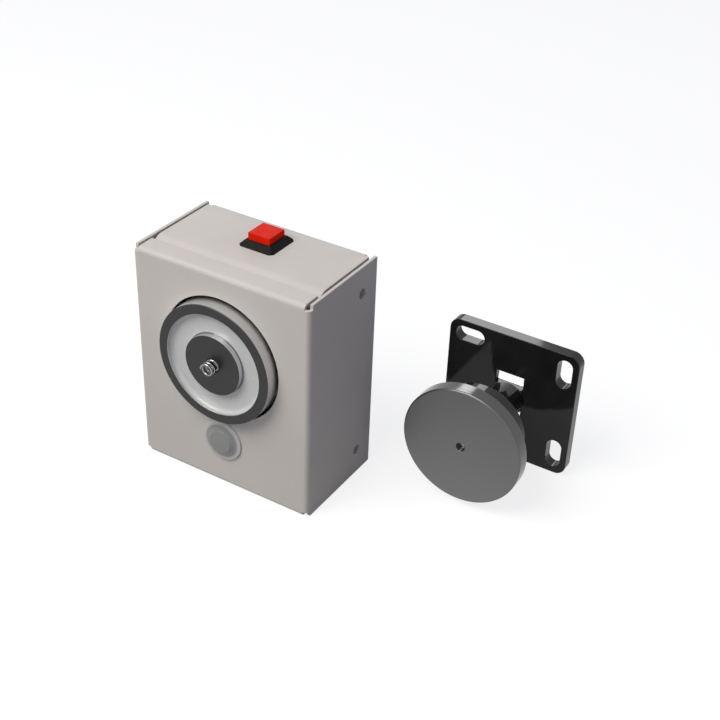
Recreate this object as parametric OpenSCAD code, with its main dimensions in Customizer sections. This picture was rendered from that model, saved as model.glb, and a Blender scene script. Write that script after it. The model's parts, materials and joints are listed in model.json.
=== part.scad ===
// Electromagnetic door holder: a wall magnet in a folded sheet housing with a
// release button, and the swivelling armature that is fixed to the door.
// X runs to the right, Y into the wall and Z up, in millimetres. The origin is
// the middle of the housing's back face, which lies on the wall.

/* [Housing] */
// Width of the housing over its side walls
housing_w = 87; // [84:1:110]
// Height of the housing
housing_h = 104; // [100:1:130]
// Depth of the housing, from the wall to its front
housing_d = 49.5; // [46:0.5:60]
// Thickness of the folded sheet
sheet_t = 1.5; // [1:0.1:2]
// Outer radius of the bends in the sheet
bend_r = 2.2; // [2.1:0.1:3]
// Depth of the cover's top and bottom flanges
flange_depth = 9.4; // [7:0.2:12]
// Gap between a flange or panel and the side wall beside it
side_gap = 1.1; // [0.6:0.1:1.6]
// Length of the slope that takes the panel down under the flange
joggle_run = 5; // [3.5:0.25:7]
// Diameter of the four screw holes in the side walls
cover_hole_d = 4.5; // [4:0.1:5]
// Distance of those holes from the wall
cover_hole_y = 10.9; // [9:0.1:14]
// Distance of those holes from the top and bottom edges
cover_hole_end = 12.4; // [11:0.1:18]

/* [Wall fixing] */
// Diameter of the four wall screw holes
wall_hole_d = 5.2; // [4:0.1:6]
// Distance between the wall holes across
wall_pitch_x = 64; // [60:1:66]
// Distance between the wall holes up and down
wall_pitch_z = 84; // [82:1:86]
// Diameter of the cable entry in the back
cable_hole_d = 14; // [10:0.5:15]

/* [Magnet] */
// Diameter of the pot magnet
magnet_d = 55; // [50:0.5:58]
// Length of the pot magnet
magnet_len = 29.5; // [26:0.5:31]
// How far the pole face stands out of the cover
magnet_proud = 5.6; // [4:0.2:7]
// Height of the magnet's axis above the middle of the housing
magnet_z = 12.3; // [10:0.1:13]
// Thickness of the pot's outer wall
pot_wall = 4.25; // [3.5:0.25:5]
// Thickness of the pot's base
pot_base = 7; // [6:0.5:9]
// Diameter of the inner pole
core_d = 27.3; // [24:0.1:29]
// Depth of the sealing resin below the pole face
resin_recess = 2.6; // [1.5:0.1:4]
// Radius of the fillet where the resin wets the pot's wall
resin_fillet = 1.9; // [0.5:0.1:2.2]
// Gap between the magnet and the round opening in the cover
magnet_gap = 1.3; // [0.8:0.1:2]

/* [Release spring] */
// Outer diameter of the spring in the pole
spring_d = 6.2; // [5:0.1:7]
// Thickness of its wire
spring_wire = 1; // [0.7:0.05:1.2]
// Rise of one turn
spring_pitch = 1.85; // [1.6:0.05:2.4]
// How far it stands out of the pole face
spring_proud = 4.8; // [3:0.2:6]

/* [Release button] */
// Width of the square bezel
bezel_w = 17.3; // [16:0.1:19]
// Height of the bezel above the panel
bezel_h = 2.5; // [2:0.1:3.5]
// Width of the square cap
cap_w = 10.8; // [10:0.1:11.5]
// Height of the cap's top above the panel
cap_top = 5.5; // [5:0.1:7]
// Travel of the cap
cap_travel = 2.2; // [1.5:0.1:2.4]
// Distance of the button's middle from the front
button_from_front = 33; // [31:0.5:34]
// Depth of the button's body below the panel
button_depth = 15; // [14:0.5:17]

/* [Blanking plug] */
// Diameter of the plug's rim
plug_d = 19.6; // [18:0.2:22]
// Diameter of the plug's raised middle
plug_boss_d = 11; // [9:0.2:12]
// Height of the raised middle
plug_boss_h = 2.2; // [1.5:0.1:3]
// Diameter of the hole that it closes
plug_hole_d = 14; // [13:0.2:15]
// Distance of the plug below the middle of the housing
plug_drop = 28.6; // [28:0.2:31]

/* [Keeper plate] */
// Width and height of the square plate
plate_w = 62; // [60:1:70]
// Thickness of the plate
plate_t = 5.5; // [5:0.25:7]
// Radius of its corners
plate_corner = 5; // [3:0.5:7]
// Width of the four slots
slot_w = 7; // [5:0.25:7.5]
// Length of the four slots
slot_len = 14; // [10:0.5:15]
// Distance of a slot's middle line from the plate's nearest edge
slot_edge = 6.5; // [6:0.25:8]
// Distance of a slot's middle from the other edge
slot_end = 10; // [9.5:0.25:11]
// Width of the window in the middle
window_w = 13.2; // [12:0.2:14]
// Height of the window
window_h = 24; // [23:0.5:28]

/* [Armature] */
// Diameter of the armature disc
disc_d = 55; // [50:0.5:60]
// Thickness of the armature disc
disc_t = 7; // [6:0.25:9]
// Diameter of the hole in the disc's face
disc_hole_d = 4; // [3:0.25:5]
// Distance from the keeper plate to the armature's face
reach = 44.6; // [44:0.2:50]
// Diameter of the swivel housing
hub_d = 40.6; // [36:0.2:42]
// Diameter of the neck that stands on the plate
neck_d = 15; // [14.5:0.25:17]
// Diameter of the ball
ball_d = 14; // [13:0.5:15]
// Largest tilt of the armature each way, in degrees
tilt = 8; // [5:1:8]

/* [Set] */
// Distance of the armature unit to the right of the housing's middle
keeper_x = 91; // [80:1:120]
// Distance of the keeper plate's back behind the wall face of the housing
keeper_y = 44; // [20:1:60]

/* [Hidden] */
$fn = 64;
// Overshoot of a cut past the face it opens
cut = 1;
// Play between pieces that are put together
fit = 0.1;
half_w = housing_w / 2;
half_h = housing_h / 2;
bend_in = bend_r - sheet_t;
// Half width of the flanges and of the chassis panels
panel_half = half_w - sheet_t - side_gap;
// Outer face of the chassis tabs, just inside the side walls
tab_x = half_w - sheet_t - fit;
tab_len = 16;
tab_half = 8;
tab_bend = sheet_t + 0.5;
tab_root = 3;
tap_d = 3.3;
hole_z = half_h - cover_hole_end;
opening_d = magnet_d + 2 * magnet_gap;
// Lip of the chassis panel under the flange
lip_z = half_h - sheet_t - fit;
lip_front = -housing_d + bend_r + 1;
joggle_front = -housing_d + flange_depth + 0.5;
joggle_rear = joggle_front + joggle_run;
joggle_steps = 10;
// Magnet, measured along its own axis from its back
magnet_rear = -(housing_d + magnet_proud - magnet_len);
groove_r = magnet_d / 2 - pot_wall;
core_r = core_d / 2;
bobbin_wall = 1;
bobbin_rim = 1.2;
resin_t = 2.7;
bobbin_top = magnet_len - resin_recess - resin_t - fit;
spring_bore_d = spring_d + 0.6;
spring_bore_len = 12;
lead_hole_d = 4;
m6_d = 6;
m6_tap_len = 9;
// Room left past a screw's end in its blind hole
tip_gap = 2;
// Hat bracket between the magnet and the back plate
bracket_t = 2;
bracket_foot = 12;
bracket_margin = 4.9;
bracket_half = panel_half - bracket_margin - bracket_foot;
bracket_h = 32;
bracket_top = magnet_rear;
bracket_bend = bracket_t + 0.8;
m3_d = 3;
m3_head_d = 5.8;
m3_hex = 2;
m3_hex_depth = 0.9;
foot_screw_len = 6;
foot_screw_x = bracket_half + bracket_foot / 2 + 0.5;
foot_screw_z = 9;
m6_head_d = 10;
m6_head_h = 6;
m6_hex = 5.77;
m6_hex_depth = 3;
washer_t = 1.5;
washer_d = 11;
washer_slit = 1;
access_d = 12;
// Circuit board
board_w = 38;
board_h = 22;
board_t = 1.6;
board_gap = 6;
board_x = 3;
board_up = 18;
board_z = -half_h + board_up;
board_screw_edge = 3.5;
board_screw_len = 4;
pan_head_d = 5.2;
pan_head_h = 1.9;
pan_slot = 0.7;
pan_slot_len = 3.4;
post_d = 5;
post_floor = 1;
post_dx = board_w / 2 - board_screw_edge;
post_dz = board_h / 2 - board_screw_edge;
board_front = -sheet_t - board_gap - board_t;
// Terminal block with three ways
ways = 3;
way_pitch = 5;
block_w = ways * way_pitch;
block_h = 9;
block_d = 10;
block_drop = 2.5;
block_z = board_z - block_drop;
block_step = 3;
block_back = 2;
block_roof = 2;
clamp_w = 3.6;
cage_len = 5.2;
cage_wall = 0.6;
cage_roof = 1.7;
cage_h = 5.8;
wire_screw_d = 2.5;
wire_head_d = 3.4;
wire_head_h = 1.6;
wire_screw_len = 4;
screw_slit = 0.6;
diode_d = 2.7;
diode_len = 5.2;
diode_lead_d = 0.8;
diode_lead_half = 5;
diode_lift = 1.8;
diode_up = 6.5;
cable_aside = 15.5;
cable_up = 27;
cable_x = -half_w + cable_aside;
cable_z = -half_h + cable_up;
// Button
button_y = -housing_d + button_from_front;
well = cap_w + 0.3;
body_w = well + 2.2;
bezel_top_w = well + 1.2;
skirt_len = 5;
plunger_d = 4;
floor_t = 2;
ceiling_t = 1.4;
contact_depth = 4.5;
pad_t = 0.6;
bridge_t = 0.5;
bridge_d = 7.4;
blade_x = 4;
blade_t = 0.8;
blade_w = 3;
latch = 1;
latch_w = 6;
latch_len = 4;
bezel_corner = 1.6;
cap_wall = 1.1;
bridge_play = 0.05;
pin_out = 0.5;
return_d = 6;
return_wire = 0.6;
return_pitch = 2.6;
return_play = 0.02;
blade_out = 6;
blade_hole_d = 1.3;
// Plug
plug_rim_t = 0.8;
plug_wall = 1.2;
plug_barrel_len = 4;
plug_latch = 0.5;
plug_slit = 1.6;
plug_collar = 1.3;
// Armature unit, measured along its axis from the plate's front
plate_half = plate_w / 2;
keeper_z = -half_h + plate_half;
disc_back = reach - disc_t;
hub_gap = 4;
hub_front = disc_back - hub_gap;
hub_len = 8.7;
hub_back = hub_front - hub_len;
hub_cone = 9;
hub_shoulder = 0.8;
ball_set_back = 7.1;
ball_at = hub_front - ball_set_back;
ball_r = ball_d / 2;
liner_t = 1.5;
liner_play = 0.1;
liner_front = 4.2;
liner_back = 6;
seat_r = ball_r + liner_t + 2.5 * liner_play;
spanner_d = 2.5;
ring_r = 15;
ring_len = 5;
ring_flare = 9.5;
ring_lip = 5;
recess_depth = 2.2;
recess_end = 1;
clamp_t = 2;
clamp_side = 3;
recess_side = clamp_side + 4 * fit;
tang_h = 11.6;
m4_d = 4;
m4_head_d = 8;
m4_hex = 2.9;
m4_hex_depth = 1.4;
neck_bore = 12;
nut_af = 10;
nut_t = 3;
stud_cover = 2;
stud_neck_d = 7;
stud_play = 0.7;
stud_end = disc_back + disc_t - stud_cover;

// Quarter of a bent sheet along X, from the top face round to the front face
module bend_x(len, r, t) {
    rotate([0, 90, 0])
        intersection() {
            difference() {
                cylinder(r = r, h = len, center = true);
                cylinder(r = r - t, h = len + 2 * cut, center = true);
            }
            translate([-r - cut, -r - cut, -len / 2 - cut])
                cube([r + cut, r + cut, len + 2 * cut]);
        }
}

// Quarter of a bent sheet along Z, from the front face round to the right wall
module bend_z(len, r, t) {
    intersection() {
        difference() {
            cylinder(r = r, h = len, center = true);
            cylinder(r = r - t, h = len + 2 * cut, center = true);
        }
        translate([0, -r - cut, -len / 2 - cut])
            cube([r + cut, r + cut, len + 2 * cut]);
    }
}

// Puts what is drawn along +Z on an axis that points out of the wall
module outward(x, y, z) {
    translate([x, y, z]) rotate([90, 0, 0]) children();
}

// The four corners of a rectangle on the wall plane
module at_corners(dx, dz) {
    for (sx = [-1, 1], sz = [-1, 1])
        translate([sx * dx, 0, sz * dz]) children();
}

module mirror_both_x() {
    children();
    mirror([1, 0, 0]) children();
}

module mirror_both_z() {
    children();
    mirror([0, 0, 1]) children();
}

// Plate between two corners given in X and Z, at a depth y and thickness t
module wall_plate(x0, x1, z0, z1, y, t) {
    translate([x0, y, z0]) cube([x1 - x0, t, z1 - z0]);
}

// A box that is narrower at its top, with cut corners
module tapered_square(base, top, h, corner) {
    module wedge_profile(len) {
        rotate([90, 0, 0])
            linear_extrude(height = len, center = true)
                polygon([[-base / 2, 0], [base / 2, 0], [top / 2, h], [-top / 2, h]]);
    }
    intersection() {
        wedge_profile(base + cut);
        rotate([0, 0, 90]) wedge_profile(base + cut);
        rotate([0, 0, 45])
            translate([-1, -1, 0] * (base / sqrt(2) - corner / sqrt(2)))
                cube([2, 2, 0] * (base / sqrt(2) - corner / sqrt(2)) + [0, 0, h + cut]);
    }
}

// Points of one ring of wire at the angle a of a coil
function wire_ring(coil_r, wire_r, a, z, sides) = [
    for (i = [0 : sides - 1])
        let (b = 360 * i / sides, r = coil_r + wire_r * cos(b))
            [r * cos(a), r * sin(a), z + wire_r * sin(b)]
];

// A closed helical spring that stands on z = 0
module coil_spring(d, wire, pitch, len, sides = 8, steps = 16) {
    turns = (len - wire) / pitch;
    rings = ceil(turns * steps);
    points = [
        for (k = [0 : rings])
            each wire_ring((d - wire) / 2, wire / 2, 360 * turns * k / rings,
                wire / 2 + (len - wire) * k / rings, sides)
    ];
    sides_of = [
        for (k = [0 : rings - 1], i = [0 : sides - 1])
            let (j = (i + 1) % sides)
                [k * sides + i, k * sides + j, (k + 1) * sides + j, (k + 1) * sides + i]
    ];
    start = [for (i = [sides - 1 : -1 : 0]) i];
    end = [for (i = [0 : sides - 1]) rings * sides + i];
    polyhedron(points = points, faces = concat(sides_of, [start, end]), convexity = 10);
}

module slot_hole(len, w, h) {
    for (s = [-1, 1])
        translate([s * (len - w) / 2, 0, 0]) cylinder(d = w, h = h, center = true);
    cube([len - w, w, h], center = true);
}

// One folded sheet: front, two side walls and the narrow top and bottom flanges
module cover() {
    color([0.66, 0.64, 0.62])
        difference() {
            union() {
                wall_plate(-half_w + bend_r, half_w - bend_r,
                    -half_h + bend_r, half_h - bend_r, -housing_d, sheet_t);
                mirror_both_x() {
                    translate([half_w - sheet_t, -housing_d + bend_r, -half_h])
                        cube([sheet_t, housing_d - bend_r, housing_h]);
                    translate([half_w - bend_r, -housing_d + bend_r, 0])
                        bend_z(housing_h - 2 * bend_r, bend_r, sheet_t);
                }
                mirror_both_z() {
                    translate([-panel_half, -housing_d + bend_r, half_h - sheet_t])
                        cube([2 * panel_half, flange_depth - bend_r, sheet_t]);
                    translate([0, -housing_d + bend_r, half_h - bend_r])
                        bend_x(2 * panel_half, bend_r, sheet_t);
                }
            }
            outward(0, -housing_d + 2 * sheet_t, magnet_z)
                cylinder(d = opening_d, h = 3 * sheet_t, $fn = 96);
            outward(0, -housing_d + 2 * sheet_t, -plug_drop)
                cylinder(d = plug_hole_d, h = 3 * sheet_t);
            for (sx = [-1, 1], sz = [-1, 1])
                translate([sx * (half_w - sheet_t / 2), -cover_hole_y, sz * hole_z])
                    rotate([0, 90, 0])
                        cylinder(d = cover_hole_d, h = sheet_t + 2 * cut, center = true);
        }
}

// Height of the joggled panel's upper face between its two flats
function joggle_drop(s) = (sheet_t + fit) * (1 - cos(180 * s)) / 2;

// Top panel of the chassis: flat, then down one sheet under the flange
module chassis_panel() {
    steps = [for (i = [0 : joggle_steps]) i / joggle_steps];
    upper = [for (s = steps) [joggle_rear - joggle_run * s, half_h - joggle_drop(s)]];
    path = concat([[-bend_r, half_h]], upper, [[lip_front, lip_z]]);
    under = [for (i = [len(path) - 1 : -1 : 0]) path[i] - [0, sheet_t]];
    rotate([90, 0, 90])
        linear_extrude(height = 2 * panel_half, center = true)
            polygon(concat(path, under));
}

// Side tab of the chassis with a tapped hole behind the cover's screw hole
module chassis_tab() {
    difference() {
        union() {
            translate([tab_x - sheet_t, -tab_len, hole_z - tab_half])
                cube([sheet_t, tab_len - tab_bend, 2 * tab_half]);
            mirror([0, 1, 0])
                translate([tab_x - tab_bend, tab_bend, hole_z])
                    bend_z(2 * tab_half, tab_bend, sheet_t);
            wall_plate(panel_half - tab_bend - tab_root, tab_x - tab_bend,
                hole_z - tab_half, hole_z + tab_half, -sheet_t, sheet_t);
        }
        translate([tab_x - sheet_t / 2, -cover_hole_y, hole_z])
            rotate([0, 90, 0])
                cylinder(d = tap_d, h = sheet_t + 2 * cut, center = true);
    }
}

// One folded sheet: back plate, top and bottom panels and four side tabs
module base_chassis() {
    corner_cut = 2;
    color([0.70, 0.68, 0.66])
        difference() {
            union() {
                wall_plate(-panel_half + corner_cut, panel_half - corner_cut,
                    -half_h + bend_r, half_h - bend_r, -sheet_t, sheet_t);
                wall_plate(-panel_half, panel_half,
                    -hole_z - tab_half, hole_z + tab_half, -sheet_t, sheet_t);
                mirror_both_z() {
                    chassis_panel();
                    mirror([0, 1, 0])
                        translate([0, bend_r, half_h - bend_r])
                            bend_x(2 * (panel_half - corner_cut), bend_r, sheet_t);
                    mirror_both_x() chassis_tab();
                }
            }
            outward(0, cut, 0)
                for (sx = [-1, 1], sz = [-1, 1])
                    translate([sx * wall_pitch_x / 2, sz * wall_pitch_z / 2, 0])
                        cylinder(d = wall_hole_d, h = sheet_t + 2 * cut);
            outward(0, cut, magnet_z) {
                cylinder(d = access_d, h = sheet_t + 2 * cut);
                for (sx = [-1, 1], sz = [-1, 1])
                    translate([sx * foot_screw_x, sz * foot_screw_z, 0]) {
                        cylinder(d = m3_d + 2 * fit, h = sheet_t + 2 * cut);
                        translate([0, 0, cut])
                            cylinder(d1 = m3_head_d + 2 * fit, d2 = m3_d + 2 * fit,
                                h = sheet_t - fit);
                    }
            }
            outward(cable_x, cut, cable_z)
                cylinder(d = cable_hole_d, h = sheet_t + 2 * cut);
            translate([0, button_y, half_h - sheet_t / 2])
                cube([body_w + 2 * fit, body_w + 2 * fit, sheet_t + 2 * cut], center = true);
        }
}

// Grey plug that closes the spare hole in the front
module blanking_plug() {
    barrel_d = plug_hole_d - 2 * fit;
    inner_d = barrel_d - 2 * plug_wall;
    slope = (plug_d - plug_boss_d) / 2 - plug_collar;
    round = 0.25;
    step = 0.75;
    shallow = 0.35;
    latch_run = 0.8;
    lead_in = 0.6;
    floor_z = plug_boss_h - plug_wall - 0.6;
    color([0.52, 0.52, 0.51])
        outward(0, -housing_d, -plug_drop)
            difference() {
                rotate_extrude($fn = 72)
                    polygon([
                        [0, plug_boss_h], [plug_boss_d / 2 - round, plug_boss_h],
                        [plug_boss_d / 2, plug_boss_h - round],
                        [plug_boss_d / 2 + slope * shallow, plug_boss_h - step],
                        [plug_boss_d / 2 + slope, plug_rim_t + 0.05],
                        [plug_d / 2 - round, plug_rim_t], [plug_d / 2, plug_rim_t - round],
                        [plug_d / 2, 0], [barrel_d / 2, 0],
                        [barrel_d / 2, -sheet_t - fit],
                        [barrel_d / 2 + plug_latch, -sheet_t - fit - latch_run],
                        [barrel_d / 2 - lead_in, -sheet_t - plug_barrel_len],
                        [inner_d / 2, -sheet_t - plug_barrel_len],
                        [inner_d / 2, floor_z], [0, floor_z]
                    ]);
                for (a = [0, 90])
                    rotate([0, 0, a])
                        translate([-plug_d / 2, -plug_slit / 2, -sheet_t - plug_barrel_len - cut])
                            cube([plug_d, plug_slit, plug_barrel_len + cut]);
            }
}

// Turned steel pot with its inner pole
module magnet_pot() {
    edge = 0.3;
    color([0.42, 0.42, 0.43])
        outward(0, magnet_rear, magnet_z)
            difference() {
                rotate_extrude($fn = 96)
                    polygon([
                        [0, 0], [magnet_d / 2 - edge, 0], [magnet_d / 2, edge],
                        [magnet_d / 2, magnet_len - edge], [magnet_d / 2 - edge, magnet_len],
                        [groove_r, magnet_len], [groove_r, pot_base],
                        [core_r, pot_base], [core_r, magnet_len], [0, magnet_len]
                    ]);
                translate([0, 0, magnet_len - spring_bore_len])
                    cylinder(d = spring_bore_d, h = spring_bore_len + cut);
                translate([0, 0, -cut])
                    cylinder(d = m6_d + 0.04, h = m6_tap_len + cut);
                translate([0, -(core_r + groove_r) / 2, -cut])
                    cylinder(d = lead_hole_d, h = pot_base + 2 * cut);
            }
}

// Plastic former that the coil is wound on
module coil_bobbin() {
    inner = core_r + fit;
    outer = groove_r - fit;
    z0 = pot_base + fit;
    color([0.85, 0.83, 0.74])
        outward(0, magnet_rear, magnet_z)
            rotate_extrude($fn = 72)
                polygon([
                    [inner, z0], [outer, z0], [outer, z0 + bobbin_rim],
                    [inner + bobbin_wall, z0 + bobbin_rim],
                    [inner + bobbin_wall, bobbin_top - bobbin_rim],
                    [outer, bobbin_top - bobbin_rim], [outer, bobbin_top], [inner, bobbin_top]
                ]);
}

// Copper winding between the former's rims
module coil_winding() {
    z0 = pot_base + bobbin_rim + 2 * fit;
    slack = 0.8;
    color([0.72, 0.40, 0.20])
        outward(0, magnet_rear, magnet_z)
            translate([0, 0, z0])
                difference() {
                    cylinder(r = groove_r - slack, h = bobbin_top - bobbin_rim - fit - z0, $fn = 72);
                    translate([0, 0, -cut])
                        cylinder(r = core_r + bobbin_wall + 2 * fit, h = bobbin_top + cut, $fn = 72);
                }
}

// Ring of resin that seals the coil and climbs the pot's wall in a round fillet
module potting_resin() {
    z0 = magnet_len - resin_recess - resin_t;
    z1 = magnet_len - resin_recess;
    skin = 0.03;
    inner = core_r + skin;
    outer = groove_r - skin;
    pole_creep = 0.35;
    rise = min(resin_fillet, resin_recess - 2 * fit);
    fillet = [for (a = [0 : 15 : 90])
        [outer - rise * (1 - cos(a)), z1 + rise * (1 - sin(a))]];
    color([0.80, 0.80, 0.79])
        outward(0, magnet_rear, magnet_z)
            rotate_extrude($fn = 96)
                polygon(concat([[inner, z0], [outer, z0]], fillet,
                    [[inner + pole_creep, z1], [inner, z1 + pole_creep]]));
}

// Spring that pushes the armature off when the current stops
module release_spring() {
    color([0.85, 0.86, 0.87])
        outward(0, magnet_rear, magnet_z)
            translate([0, 0, magnet_len - spring_bore_len])
                coil_spring(spring_d, spring_wire, spring_pitch, spring_bore_len + spring_proud);
}

// Folded hat bracket that carries the magnet off the back plate
module magnet_bracket() {
    leg = -sheet_t - bracket_top;
    slant = bracket_bend;
    color([0.72, 0.73, 0.75])
        translate([0, 0, magnet_z])
            difference() {
                union() {
                    wall_plate(-bracket_half + slant, bracket_half - slant,
                        -bracket_h / 2, bracket_h / 2, bracket_top, bracket_t);
                    mirror_both_x() {
                        translate([bracket_half - slant, bracket_top + slant, 0])
                            bend_z(bracket_h, bracket_bend, bracket_t);
                        translate([bracket_half - bracket_t, bracket_top + slant, -bracket_h / 2])
                            cube([bracket_t, leg - 2 * slant + bracket_t, bracket_h]);
                        wall_plate(bracket_half - bracket_t, bracket_half + bracket_foot,
                            -bracket_h / 2, bracket_h / 2, -sheet_t - bracket_t, bracket_t);
                    }
                }
                outward(0, bracket_top + bracket_t + cut, 0)
                    cylinder(d = m6_d + 0.4, h = bracket_t + 2 * cut);
                outward(0, -sheet_t + cut, 0)
                    for (sx = [-1, 1], sz = [-1, 1])
                        translate([sx * foot_screw_x, sz * foot_screw_z, 0])
                            cylinder(d = m3_d + 0.04, h = bracket_t + 2 * cut);
            }
}

// Four countersunk screws from the back into the bracket's feet
module bracket_screws() {
    color([0.80, 0.80, 0.78])
        outward(0, 0, magnet_z)
            for (sx = [-1, 1], sz = [-1, 1])
                translate([sx * foot_screw_x, sz * foot_screw_z, 0])
                    difference() {
                        union() {
                            cylinder(d = m3_d, h = foot_screw_len);
                            cylinder(d1 = m3_head_d, d2 = m3_d, h = sheet_t - fit);
                        }
                        translate([0, 0, -cut]) cylinder(d = m3_hex, h = m3_hex_depth + cut, $fn = 6);
                    }
}

// Socket screw that holds the magnet on the bracket
module magnet_screw() {
    head_y = bracket_top + bracket_t + washer_t + m6_head_h;
    color([0.30, 0.30, 0.31])
        outward(0, head_y, magnet_z)
            difference() {
                union() {
                    cylinder(d = m6_head_d, h = m6_head_h);
                    cylinder(d = m6_d, h = m6_head_h + washer_t + bracket_t + m6_tap_len - tip_gap);
                }
                translate([0, 0, -cut]) cylinder(d = m6_hex, h = m6_hex_depth + cut, $fn = 6);
            }
}

// Split spring washer under the magnet screw's head
module lock_washer() {
    color([0.75, 0.75, 0.74])
        outward(0, bracket_top + bracket_t + washer_t, magnet_z)
            difference() {
                cylinder(d = washer_d, h = washer_t);
                translate([0, 0, -cut]) cylinder(d = m6_d + 0.4, h = washer_t + 2 * cut);
                rotate([0, 0, 30])
                    translate([m6_d / 3, -washer_slit / 2, -cut])
                        cube([washer_d / 2, washer_slit, washer_t + 2 * cut]);
            }
}

// Board with the terminals and the diode
module circuit_board() {
    color([0.10, 0.38, 0.22])
        difference() {
            wall_plate(board_x - board_w / 2, board_x + board_w / 2,
                board_z - board_h / 2, board_z + board_h / 2, board_front, board_t);
            outward(board_x, board_front + board_t + cut, board_z)
                for (sx = [-1, 1], sz = [-1, 1])
                    translate([sx * post_dx, sz * post_dz, 0])
                        cylinder(d = m3_d + 0.2, h = board_t + 2 * cut);
        }
}

// Four tapped posts on the back plate
module board_posts() {
    color([0.78, 0.76, 0.68])
        outward(board_x, -sheet_t, board_z)
            for (sx = [-1, 1], sz = [-1, 1])
                translate([sx * post_dx, sz * post_dz, 0])
                    difference() {
                        cylinder(d = post_d, h = board_gap);
                        translate([0, 0, post_floor]) cylinder(d = m3_d + 0.04, h = board_gap);
                    }
}

// Four pan-head screws that hold the board
module board_screws() {
    color([0.80, 0.80, 0.80])
        outward(board_x, board_front, board_z)
            for (sx = [-1, 1], sz = [-1, 1])
                translate([sx * post_dx, sz * post_dz, 0])
                    difference() {
                        union() {
                            cylinder(d = pan_head_d, h = pan_head_h);
                            translate([0, 0, -board_t - board_screw_len])
                                cylinder(d = m3_d, h = board_t + board_screw_len);
                        }
                        translate([0, 0, pan_head_h / 2 + cut]) {
                            cube([pan_slot_len, pan_slot, 2 * cut], center = true);
                            cube([pan_slot, pan_slot_len, 2 * cut], center = true);
                        }
                    }
}

// Places the children at the middle of each way of the terminal block
module each_way() {
    for (i = [0 : ways - 1])
        translate([board_x + (i - (ways - 1) / 2) * way_pitch, board_front, block_z])
            children();
}

// Plastic body of the terminal block, with a wire entry and a screw well each way
module terminal_block() {
    well_d = wire_head_d + 0.3;
    color([0.20, 0.45, 0.30])
        difference() {
            translate([board_x - block_w / 2, board_front - block_d, block_z - block_h / 2])
                cube([block_w, block_d, block_h]);
            translate([board_x - block_w / 2 - cut, board_front - block_d - cut,
                block_z + block_h / 2 - block_roof])
                cube([block_w + 2 * cut, block_step + cut, block_roof + cut]);
            each_way() {
                translate([-clamp_w / 2 - fit, -block_back - cage_len - 2 * fit, -block_h / 2 - cut])
                    cube([clamp_w + 2 * fit, cage_len + 2 * fit, block_h - block_roof + cut]);
                translate([0, -block_back - cage_len / 2, 0])
                    rotate([90, 0, 0]) cylinder(d = well_d, h = block_d, $fn = 32);
            }
        }
}

// Brass cage of each way
module terminal_clamps() {
    color([0.80, 0.65, 0.30])
        each_way()
            difference() {
                translate([-clamp_w / 2, -block_back - fit - cage_len, -cage_h / 2 - 1])
                    cube([clamp_w, cage_len, cage_h]);
                translate([-clamp_w / 2 + cage_wall, -block_back - fit - cage_len + cage_roof, -block_h])
                    cube([clamp_w - 2 * cage_wall, cage_len - cage_roof - cage_wall, 2 * block_h]);
                translate([0, -block_back - cage_len / 2, 0])
                    rotate([90, 0, 0]) cylinder(d = wire_screw_d + 2 * fit, h = cage_len, $fn = 32);
            }
}

// Slotted screw of each way
module terminal_screws() {
    head_from = wire_screw_len - 1;
    color([0.82, 0.82, 0.82])
        each_way()
            translate([0, -block_back - cage_len + wire_screw_len - 1 - 2 * fit, 0])
                rotate([90, 0, 0])
                    difference() {
                        union() {
                            cylinder(d = wire_screw_d, h = wire_screw_len, $fn = 32);
                            translate([0, 0, head_from])
                                cylinder(d = wire_head_d, h = wire_head_h, $fn = 32);
                        }
                        translate([-clamp_w / 2, -screw_slit / 2, head_from + wire_head_h / 2])
                            cube([clamp_w, screw_slit, wire_head_h]);
                    }
}

// Diode across the coil, with its leads bent down to the board
module diode() {
    color([0.12, 0.12, 0.13])
        translate([board_x, board_front - diode_lift, board_z + diode_up]) {
            rotate([0, 90, 0]) cylinder(d = diode_d, h = diode_len, center = true, $fn = 32);
            rotate([0, 90, 0])
                cylinder(d = diode_lead_d, h = 2 * diode_lead_half, center = true, $fn = 16);
            for (s = [-1, 1])
                translate([s * diode_lead_half, 0, 0]) {
                    sphere(d = diode_lead_d, $fn = 16);
                    rotate([-90, 0, 0]) cylinder(d = diode_lead_d, h = diode_lift, $fn = 16);
                }
        }
}

// Puts the children on the button's axis, measured from the panel's upper face
module on_button() {
    translate([0, button_y, half_h]) children();
}

// Black bezel and body of the button in one moulding
module button_housing() {
    depth = button_depth + contact_depth;
    color([0.13, 0.13, 0.14])
        on_button()
            difference() {
                union() {
                    tapered_square(bezel_w, bezel_top_w, bezel_h, bezel_corner);
                    translate([-body_w / 2, -body_w / 2, -depth])
                        cube([body_w, body_w, depth + bezel_h / 2]);
                    mirror_both_x()
                        translate([body_w / 2, 0, -sheet_t - fit])
                            rotate([90, 0, 0])
                                linear_extrude(height = latch_w, center = true)
                                    polygon([[-fit, 0], [latch, 0], [latch, -latch_len / 5],
                                        [-fit, -latch_len]]);
                }
                translate([-well / 2, -well / 2, -button_depth + floor_t])
                    cube([well, well, button_depth + bezel_h]);
                translate([-well / 2, -well / 2, -depth - cut])
                    cube([well, well, contact_depth + cut]);
                translate([0, 0, -button_depth - cut])
                    cylinder(d = plunger_d + 2 * fit, h = floor_t + 2 * cut);
            }
}

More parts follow.
